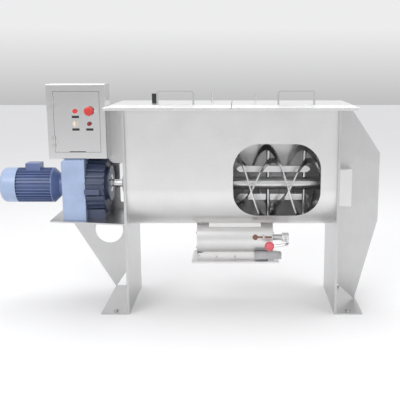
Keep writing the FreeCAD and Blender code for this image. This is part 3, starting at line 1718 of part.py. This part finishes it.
def make_apron_screws():
    screws = []
    z = chute_flange_high + apron_height - apron_screw_drop
    for x in (apron_screw_left, valve_middle):
        screws.append(bolt((x, apron_front(), z), (0, -1, 0), cap_screw, apron_sheet + chute_sheet))
    return screws


def make_switch():
    """A limit switch housing on a foot that stands on the chute flange, in front of the hood."""
    front = switch_inset - chute_flange_depth
    back = front + switch_depth
    low = chute_flange_high + switch_foot_height
    high = low + switch_height
    right = switch_left + switch_length
    body = rounded(block(switch_left, right, front, back, low, high), (1, 0, 0), switch_corner)
    foot = block(switch_foot_left, switch_foot_left + switch_foot_length, front, back,
                 chute_flange_high, low)
    inset = switch_lid_inset
    lid = block(switch_left + inset, right - inset, front + inset, back - inset,
                high, high + switch_lid)
    return fused([body, foot, lid])


def make_fasteners():
    return (make_foot_bolts() + make_bearing_bolts() + make_gearbox_bolts()
            + make_cap_screws() + make_apron_screws())


def build_all():
    """Every sub-part's solids, still in the modelling frame."""
    return {
        "trough_shell": [make_trough()],
        "trough_flange": [make_flange()],
        "left_end_plate": [make_end_plate(-1)],
        "right_end_plate": [make_end_plate(1)],
        "foot_plates": [make_foot(-1), make_foot(1)],
        "screws_and_bolts": make_fasteners(),
        "right_web_plate": [make_web()],
        "bearing_guard": [make_bearing_guard()],
        "bearing_housings": [make_bearing_housing(-1), make_bearing_housing(1)],
        "bearings": make_shaft_bearings() + make_gear_bearings() + make_motor_bearings(),
        "shaft_seals": make_shaft_seals(),
        "drive_shelf": [make_shelf()],
        "drive_brace": [make_brace()],
        "drive_back_plates": [make_back_plate(), make_box_plate()],
        "control_box": [make_control_box()] + make_plate_spacers(),
        "switchgear": [make_mounting_plate(), make_contactor(), make_terminal_strip()],
        "control_door": [make_door()],
        "door_latch": [make_latch()],
        "button_rings": make_button_rings(),
        "contact_blocks": make_contact_blocks(),
        "label_plates": make_labels(),
        "emergency_stop": [make_estop()],
        "start_button": [make_start_button()],
        "stop_button": [make_stop_button()],
        "selector_knob": [make_selector()],
        "left_lid": [make_lid(-1)],
        "right_lid": [make_lid(1)],
        "left_lid_gasket": [make_gasket(-1)],
        "right_lid_gasket": [make_gasket(1)],
        "left_lid_handle": [make_handle(left_handle_x), make_post(left_post_x)],
        "right_lid_handle": [make_handle(right_handle_x), make_post(right_post_x)],
        "lid_sensor": [make_sensor()],
        "fixed_hinge_leaves": make_frame_leaves() + make_box_knuckles(),
        "left_lid_hinge_leaves": make_lid_leaves(-1),
        "right_lid_hinge_leaves": make_lid_leaves(1),
        "hinge_pins": make_hinge_pins() + make_door_pins(),
        "agitator_shaft": [make_agitator_shaft(), output_key()],
        "spokes_and_tie_bars": make_spokes() + make_tie_bars(),
        "outer_ribbons": make_outer_ribbons(),
        "inner_ribbons": make_inner_ribbons(),
        "gearbox_case": [make_case()],
        "gearbox_output_case": [make_output_case()],
        "lay_shaft": [make_lay_shaft(), make_lay_gear()],
        "output_gear": [make_output_gear()],
        "motor_housing": [make_motor_housing()],
        "stator": [make_stator()],
        "motor_rotor": [make_rotor(), make_motor_pinion()],
        "motor_fan": [make_fan()],
        "fan_cover": [make_fan_cover()],
        "terminal_box": [make_terminal_box()],
        "valve_body": [make_valve_body()],
        "valve_caps": [make_left_cap(), make_right_cap()],
        "valve_plug": [make_valve_plug()],
        "valve_lever": [make_lever()],
        "lever_ball": [lever_ball_solid()],
        "latch_bolt": [make_latch_bolt()],
        "discharge_chute": [make_chute()],
        "chute_apron": [make_apron()],
        "limit_switch": [make_switch()],
    }


def origin_shift(parts):
    """The move that puts the origin at the bottom centre of the whole machine."""
    whole = FreeCAD.BoundBox()
    for shapes in parts.values():
        for shape in shapes:
            whole.add(shape.optimalBoundingBox(False, False))
    return Vector(-whole.Center.x, -whole.Center.y, -whole.ZMin)


def main():
    os.makedirs("parts", exist_ok=True)
    parts = build_all()
    shift = origin_shift(parts)
    for name, shapes in parts.items():
        moved = [shape.translated(shift) for shape in shapes]
        whole = moved[0] if len(moved) == 1 else Part.makeCompound(moved)
        whole.exportStep(os.path.join("parts", name + ".step"))


if __name__ == "__main__":
    main()
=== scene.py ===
import json
import math

import bpy
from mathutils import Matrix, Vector

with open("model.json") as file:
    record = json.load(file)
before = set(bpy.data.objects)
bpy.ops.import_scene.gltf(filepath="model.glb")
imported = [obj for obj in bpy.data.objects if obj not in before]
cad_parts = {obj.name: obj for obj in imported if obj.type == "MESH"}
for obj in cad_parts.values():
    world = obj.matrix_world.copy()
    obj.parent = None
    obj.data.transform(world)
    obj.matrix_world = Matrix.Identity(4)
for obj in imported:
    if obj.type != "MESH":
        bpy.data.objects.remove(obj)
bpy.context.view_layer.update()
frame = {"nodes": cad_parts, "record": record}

nodes = frame["nodes"]


# ---- camera ----
EYE = Vector((0.2165, -3.196, 1.110))
PITCH_DOWN = math.radians(11.26)
FOCAL_MM = 64.35
SHIFT_X = -0.0975
SENSOR_MM = 36.0

# ---- finishes: noise scales per metre, and how they mix ----
BRUSH_LINES = 900.0
STEEL_CLOUDS = 6.0
LINES_SHARE = 0.45
PAINT_CLOUDS = 9.0
PAINT_SPECKS = 160.0
ORANGE_PEEL = 420.0
WEAR_RADIUS = 0.0022
PLASTIC_CLOUDS = 30.0
PLASTIC_GRAIN = 1500.0
PLATE_SMEARS = 25.0

# ---- floor, surroundings and lights ----
FLOOR_HALF = 14.0
FLOOR_TONE = (0.86, 0.86, 0.865)
FLOOR_CLOUDS = 1.4
WORLD_STRENGTH = 0.85
WORLD_STOPS = ((0.0, 0.55), (0.47, 0.62), (0.52, 1.0), (1.0, 1.0))
WORLD_BLUE = 1.01
# name, place, what it is aimed at, size, power
LIGHTS = (
    ("key", (-2.2, -3.2, 3.4), (0.1, 0.0, 0.6), (2.4, 1.6), 62.0),
    ("fill", (3.0, -2.6, 1.9), (0.2, 0.0, 0.5), (1.6, 2.0), 22.0),
    ("top", (0.2, 0.6, 3.6), (0.2, 0.0, 0.6), (3.0, 2.0), 45.0),
)


def make_camera():
    data = bpy.data.cameras.new("camera")
    data.sensor_width = SENSOR_MM
    data.lens = FOCAL_MM
    data.shift_x = SHIFT_X
    camera = bpy.data.objects.new("camera", data)
    camera.location = EYE
    camera.rotation_euler = (math.pi / 2 - PITCH_DOWN, 0.0, 0.0)
    bpy.context.collection.objects.link(camera)
    bpy.context.scene.camera = camera


# ---- node helpers ----
class Graph:
    """A material's node tree with short calls for the nodes used here."""

    def __init__(self, name):
        self.material = bpy.data.materials.new(name)
        self.material.use_nodes = True
        self.tree = self.material.node_tree
        self.shader = self.tree.nodes["Principled BSDF"]

    def add(self, kind, **values):
        node = self.tree.nodes.new(kind)
        for key, value in values.items():
            if hasattr(node, key):
                setattr(node, key, value)
            else:
                node.inputs[key.replace("_", " ")].default_value = value
        return node

    def link(self, source, target):
        self.tree.links.new(source, target)

    def set(self, **values):
        for key, value in values.items():
            self.shader.inputs[key.replace("_", " ")].default_value = value

    def stretched(self, scale):
        """Object coordinates scaled unevenly, for grain that runs one way."""
        place = self.add("ShaderNodeTexCoord")
        mapping = self.add("ShaderNodeMapping")
        mapping.inputs["Scale"].default_value = scale
        self.link(place.outputs["Object"], mapping.inputs["Vector"])
        return mapping.outputs["Vector"]

    def noise(self, vector, scale, detail=3.0, roughness=0.6):
        noise = self.add("ShaderNodeTexNoise")
        noise.inputs["Scale"].default_value = scale
        noise.inputs["Detail"].default_value = detail
        noise.inputs["Roughness"].default_value = roughness
        self.link(vector, noise.inputs["Vector"])
        return noise.outputs["Fac"]

    def ramp(self, source, low, high, dark, light):
        """A colour ramp between two shades."""
        ramp = self.add("ShaderNodeValToRGB")
        ramp.color_ramp.elements[0].position = low
        ramp.color_ramp.elements[0].color = (*dark, 1.0)
        ramp.color_ramp.elements[1].position = high
        ramp.color_ramp.elements[1].color = (*light, 1.0)
        self.link(source, ramp.inputs["Fac"])
        return ramp.outputs["Color"]

    def spread(self, source, low, high):
        """Map 0..1 onto a range."""
        node = self.add("ShaderNodeMapRange")
        node.inputs["To Min"].default_value = low
        node.inputs["To Max"].default_value = high
        self.link(source, node.inputs["Value"])
        return node.outputs["Result"]

    def mixed(self, factor, first, second):
        mix = self.add("ShaderNodeMix", data_type="RGBA")
        self.link(factor, mix.inputs[0])
        self.link(first, mix.inputs[6])
        self.link(second, mix.inputs[7])
        return mix.outputs[2]

    def edges(self, radius):
        """Bright where the surface turns, from the difference of two normals."""
        bevel = self.add("ShaderNodeBevel", samples=4)
        bevel.inputs["Radius"].default_value = radius
        shape = self.add("ShaderNodeNewGeometry")
        dot = self.add("ShaderNodeVectorMath", operation="DOT_PRODUCT")
        self.link(bevel.outputs["Normal"], dot.inputs[0])
        self.link(shape.outputs["Normal"], dot.inputs[1])
        turn = self.add("ShaderNodeMapRange")
        turn.inputs["From Min"].default_value = 1.0
        turn.inputs["From Max"].default_value = 0.8
        self.link(dot.outputs["Value"], turn.inputs["Value"])
        return turn.outputs["Result"]

    def bump(self, height, strength, distance):
        bump = self.add("ShaderNodeBump")
        bump.inputs["Strength"].default_value = strength
        bump.inputs["Distance"].default_value = distance
        self.link(height, bump.inputs["Height"])
        self.link(bump.outputs["Normal"], self.shader.inputs["Normal"])


GRAIN = {"x": (0.02, 1.0, 1.0), "y": (1.0, 0.02, 1.0), "z": (1.0, 1.0, 0.02), "none": (1.0, 1.0, 1.0)}


def brushed(name, tone, rough, way="x", contrast=0.06, warm=0.0, mottle=0.06):
    """Stainless sheet: fine lines one way, cloudy smears over them."""
    graph = Graph(name)
    graph.set(Metallic=1.0)
    lines = graph.noise(graph.stretched(GRAIN[way]), BRUSH_LINES, 4.0, 0.7)
    clouds = graph.noise(graph.stretched(GRAIN["none"]), STEEL_CLOUDS, 5.0, 0.62)
    blend = graph.add("ShaderNodeMath", operation="MULTIPLY_ADD")
    blend.inputs[1].default_value = LINES_SHARE
    graph.link(lines, blend.inputs[0])
    rest = graph.add("ShaderNodeMath", operation="MULTIPLY")
    rest.inputs[1].default_value = 1.0 - LINES_SHARE
    graph.link(clouds, rest.inputs[0])
    graph.link(rest.outputs[0], blend.inputs[2])
    dark = tuple(max(0.0, tone * (1 - contrast) + shade) for shade in (warm, 0.0, -warm))
    light = tuple(min(1.0, tone * (1 + contrast) + shade) for shade in (warm, 0.0, -warm))
    graph.link(graph.ramp(blend.outputs[0], 0.35, 0.65, dark, light), graph.shader.inputs["Base Color"])
    graph.link(graph.spread(blend.outputs[0], rough - mottle, rough + mottle),
               graph.shader.inputs["Roughness"])
    graph.bump(lines, 0.06, 0.0004)
    return graph.material


def painted(name, colour, rough=0.38, coat=0.25, chip=(0.30, 0.30, 0.31), wear=0.35):
    """Machine enamel over a casting: orange peel, cloudy tone drift, thin paint on the edges."""
    graph = Graph(name)
    graph.set(Coat_Weight=coat, Coat_Roughness=0.25)
    place = graph.stretched(GRAIN["none"])
    clouds = graph.noise(place, PAINT_CLOUDS, 5.0, 0.6)
    dark = tuple(value * 0.86 for value in colour)
    light = tuple(min(1.0, value * 1.1) for value in colour)
    base = graph.ramp(clouds, 0.3, 0.7, dark, light)
    speck = graph.noise(place, PAINT_SPECKS, 3.0, 0.7)
    worn = graph.add("ShaderNodeMath", operation="MULTIPLY")
    graph.link(graph.edges(WEAR_RADIUS), worn.inputs[0])
    graph.link(graph.spread(speck, -0.4 * wear, 1.4 * wear), worn.inputs[1])
    chipped = graph.add("ShaderNodeRGB")
    chipped.outputs[0].default_value = (*chip, 1.0)
    graph.link(graph.mixed(worn.outputs[0], base, chipped.outputs[0]), graph.shader.inputs["Base Color"])
    graph.link(graph.spread(clouds, rough - 0.07, rough + 0.1), graph.shader.inputs["Roughness"])
    graph.bump(graph.noise(place, ORANGE_PEEL, 2.0, 0.5), 0.12, 0.0006)
    return graph.material


def moulded(name, colour, rough, coat=0.0, grain=0.05):
    """Moulded plastic or rubber: fine texture and slight colour drift."""
    graph = Graph(name)
    graph.set(Coat_Weight=coat, Coat_Roughness=0.08)
    place = graph.stretched(GRAIN["none"])
    clouds = graph.noise(place, PLASTIC_CLOUDS, 4.0, 0.6)
    dark = tuple(value * 0.88 for value in colour)
    light = tuple(min(1.0, value * 1.1) for value in colour)
    graph.link(graph.ramp(clouds, 0.3, 0.7, dark, light), graph.shader.inputs["Base Color"])
    graph.link(graph.spread(clouds, rough - 0.05, rough + 0.06), graph.shader.inputs["Roughness"])
    graph.bump(graph.noise(place, PLASTIC_GRAIN, 2.0, 0.5), grain, 0.0003)
    return graph.material


def plated(name, tone, rough):
    """Bright chrome or polished steel, with faint smears."""
    graph = Graph(name)
    graph.set(Metallic=1.0)
    clouds = graph.noise(graph.stretched(GRAIN["none"]), PLATE_SMEARS, 4.0, 0.6)
    graph.link(graph.ramp(clouds, 0.3, 0.7, (tone * 0.95,) * 3, (min(1.0, tone * 1.04),) * 3),
               graph.shader.inputs["Base Color"])
    graph.link(graph.spread(clouds, max(0.01, rough - 0.03), rough + 0.04),
               graph.shader.inputs["Roughness"])
    graph.bump(clouds, 0.02, 0.0005)
    return graph.material


MATERIALS = {
    "trough_steel": brushed("trough_steel", 0.74, 0.30, "x", 0.05, 0.006),
    # leg_steel is the same stainless as the trough, given a darker tone as painted shade on the legs
    "leg_steel": brushed("leg_steel", 0.58, 0.33, "z", 0.07),
    # lid_steel is the same stainless as the trough, given a lighter tone as a painted highlight on the
    # lids
    "lid_steel": brushed("lid_steel", 0.86, 0.27, "x", 0.04),
    "box_steel": brushed("box_steel", 0.74, 0.13, "x", 0.03, 0.0, 0.03),
    # inner_steel: the smoother polish is a real finish; its darker tone is painted shade inside the
    # trough
    "inner_steel": brushed("inner_steel", 0.66, 0.24, "x", 0.06),
    "handle_steel": brushed("handle_steel", 0.62, 0.26, "x", 0.06),
    "fastener_steel": plated("fastener_steel", 0.55, 0.30),
    "machined_steel": plated("machined_steel", 0.62, 0.24),
    "gearbox_paint": painted("gearbox_paint", (0.34, 0.43, 0.62)),
    "drum_paint": painted("drum_paint", (0.065, 0.085, 0.155)),
    "motor_paint": painted("motor_paint", (0.11, 0.155, 0.32)),
    "cast_housing": painted("cast_housing", (0.30, 0.30, 0.31), 0.5, 0.0),
    "winding": moulded("winding", (0.35, 0.17, 0.08), 0.45),
    "fan_plastic": moulded("fan_plastic", (0.05, 0.05, 0.055), 0.5),
    "seal_rubber": moulded("seal_rubber", (0.03, 0.03, 0.03), 0.7, 0.0, 0.15),
    "gasket_rubber": moulded("gasket_rubber", (0.80, 0.80, 0.78), 0.6, 0.0, 0.1),
    "red_plastic": moulded("red_plastic", (0.62, 0.035, 0.03), 0.28, 0.5),
    "dark_red_plastic": moulded("dark_red_plastic", (0.20, 0.012, 0.012), 0.3, 0.5),
    "cream_plastic": moulded("cream_plastic", (0.78, 0.70, 0.55), 0.35, 0.3),
    "black_plastic": moulded("black_plastic", (0.02, 0.02, 0.021), 0.45),
    "grey_plastic": moulded("grey_plastic", (0.40, 0.40, 0.41), 0.5),
    "chrome": plated("chrome", 0.84, 0.07),
    "ball_plastic": moulded("ball_plastic", (0.66, 0.10, 0.13), 0.2, 0.6),
    "knob_brown": moulded("knob_brown", (0.20, 0.085, 0.05), 0.3, 0.4),
    "black_label": moulded("black_label", (0.018, 0.018, 0.018), 0.4),
}


def dress_nodes():
    """Every CAD node takes the finish that the record names for it."""
    for part in frame["record"]["subparts"]:
        for place in nodes[part["node"]].material_slots:
            place.material = MATERIALS[part["material_slot"]]


# ---- stage and lights ----
def plain_material(name, colour, rough=0.9):
    graph = Graph(name)
    place = graph.stretched(GRAIN["none"])
    cloud = graph.noise(place, FLOOR_CLOUDS, 2.0, 0.5)
    dark = tuple(value * 0.985 for value in colour)
    graph.link(graph.ramp(cloud, 0.2, 0.8, dark, colour), graph.shader.inputs["Base Color"])
    graph.set(Roughness=rough)
    return graph.material


def make_floor():
    mesh = bpy.data.meshes.new("floor")
    half = FLOOR_HALF
    mesh.from_pydata([(-half, -half, 0), (half, -half, 0), (half, half, 0), (-half, half, 0)],
                     [], [(0, 1, 2, 3)])
    floor = bpy.data.objects.new("floor", mesh)
    mesh.materials.append(plain_material("floor", FLOOR_TONE))
    bpy.context.collection.objects.link(floor)


def area_light(name, place, aim, size, power):
    data = bpy.data.lights.new(name, "AREA")
    data.shape = "RECTANGLE"
    data.size, data.size_y = size
    data.energy = power
    light = bpy.data.objects.new(name, data)
    light.location = place
    way = Vector(aim) - Vector(place)
    light.rotation_euler = way.to_track_quat("-Z", "Y").to_euler()
    bpy.context.collection.objects.link(light)


def make_world():
    world = bpy.data.worlds.new("studio")
    bpy.context.scene.world = world
    world.use_nodes = True
    tree = world.node_tree
    background = tree.nodes["Background"]
    place = tree.nodes.new("ShaderNodeTexCoord")
    parts = tree.nodes.new("ShaderNodeSeparateXYZ")
    tree.links.new(place.outputs["Generated"], parts.inputs["Vector"])
    ramp = tree.nodes.new("ShaderNodeValToRGB")
    ramp.color_ramp.elements[0].position = WORLD_STOPS[0][0]
    ramp.color_ramp.elements[1].position = WORLD_STOPS[-1][0]
    for position, _ in WORLD_STOPS[1:-1]:
        ramp.color_ramp.elements.new(position)
    for element, (_, shade) in zip(ramp.color_ramp.elements, WORLD_STOPS):
        element.color = (shade, shade, shade * WORLD_BLUE, 1.0)
    shifted = tree.nodes.new("ShaderNodeMapRange")
    shifted.inputs["From Min"].default_value = -1.0
    tree.links.new(parts.outputs["Z"], shifted.inputs["Value"])
    tree.links.new(shifted.outputs["Result"], ramp.inputs["Fac"])
    tree.links.new(ramp.outputs["Color"], background.inputs["Color"])
    background.inputs["Strength"].default_value = WORLD_STRENGTH


def make_lights():
    for name, place, aim, size, power in LIGHTS:
        area_light(name, place, aim, size, power)
    bpy.context.scene.view_settings.view_transform = "Standard"


make_camera()
make_world()
make_lights()
make_floor()
dress_nodes()
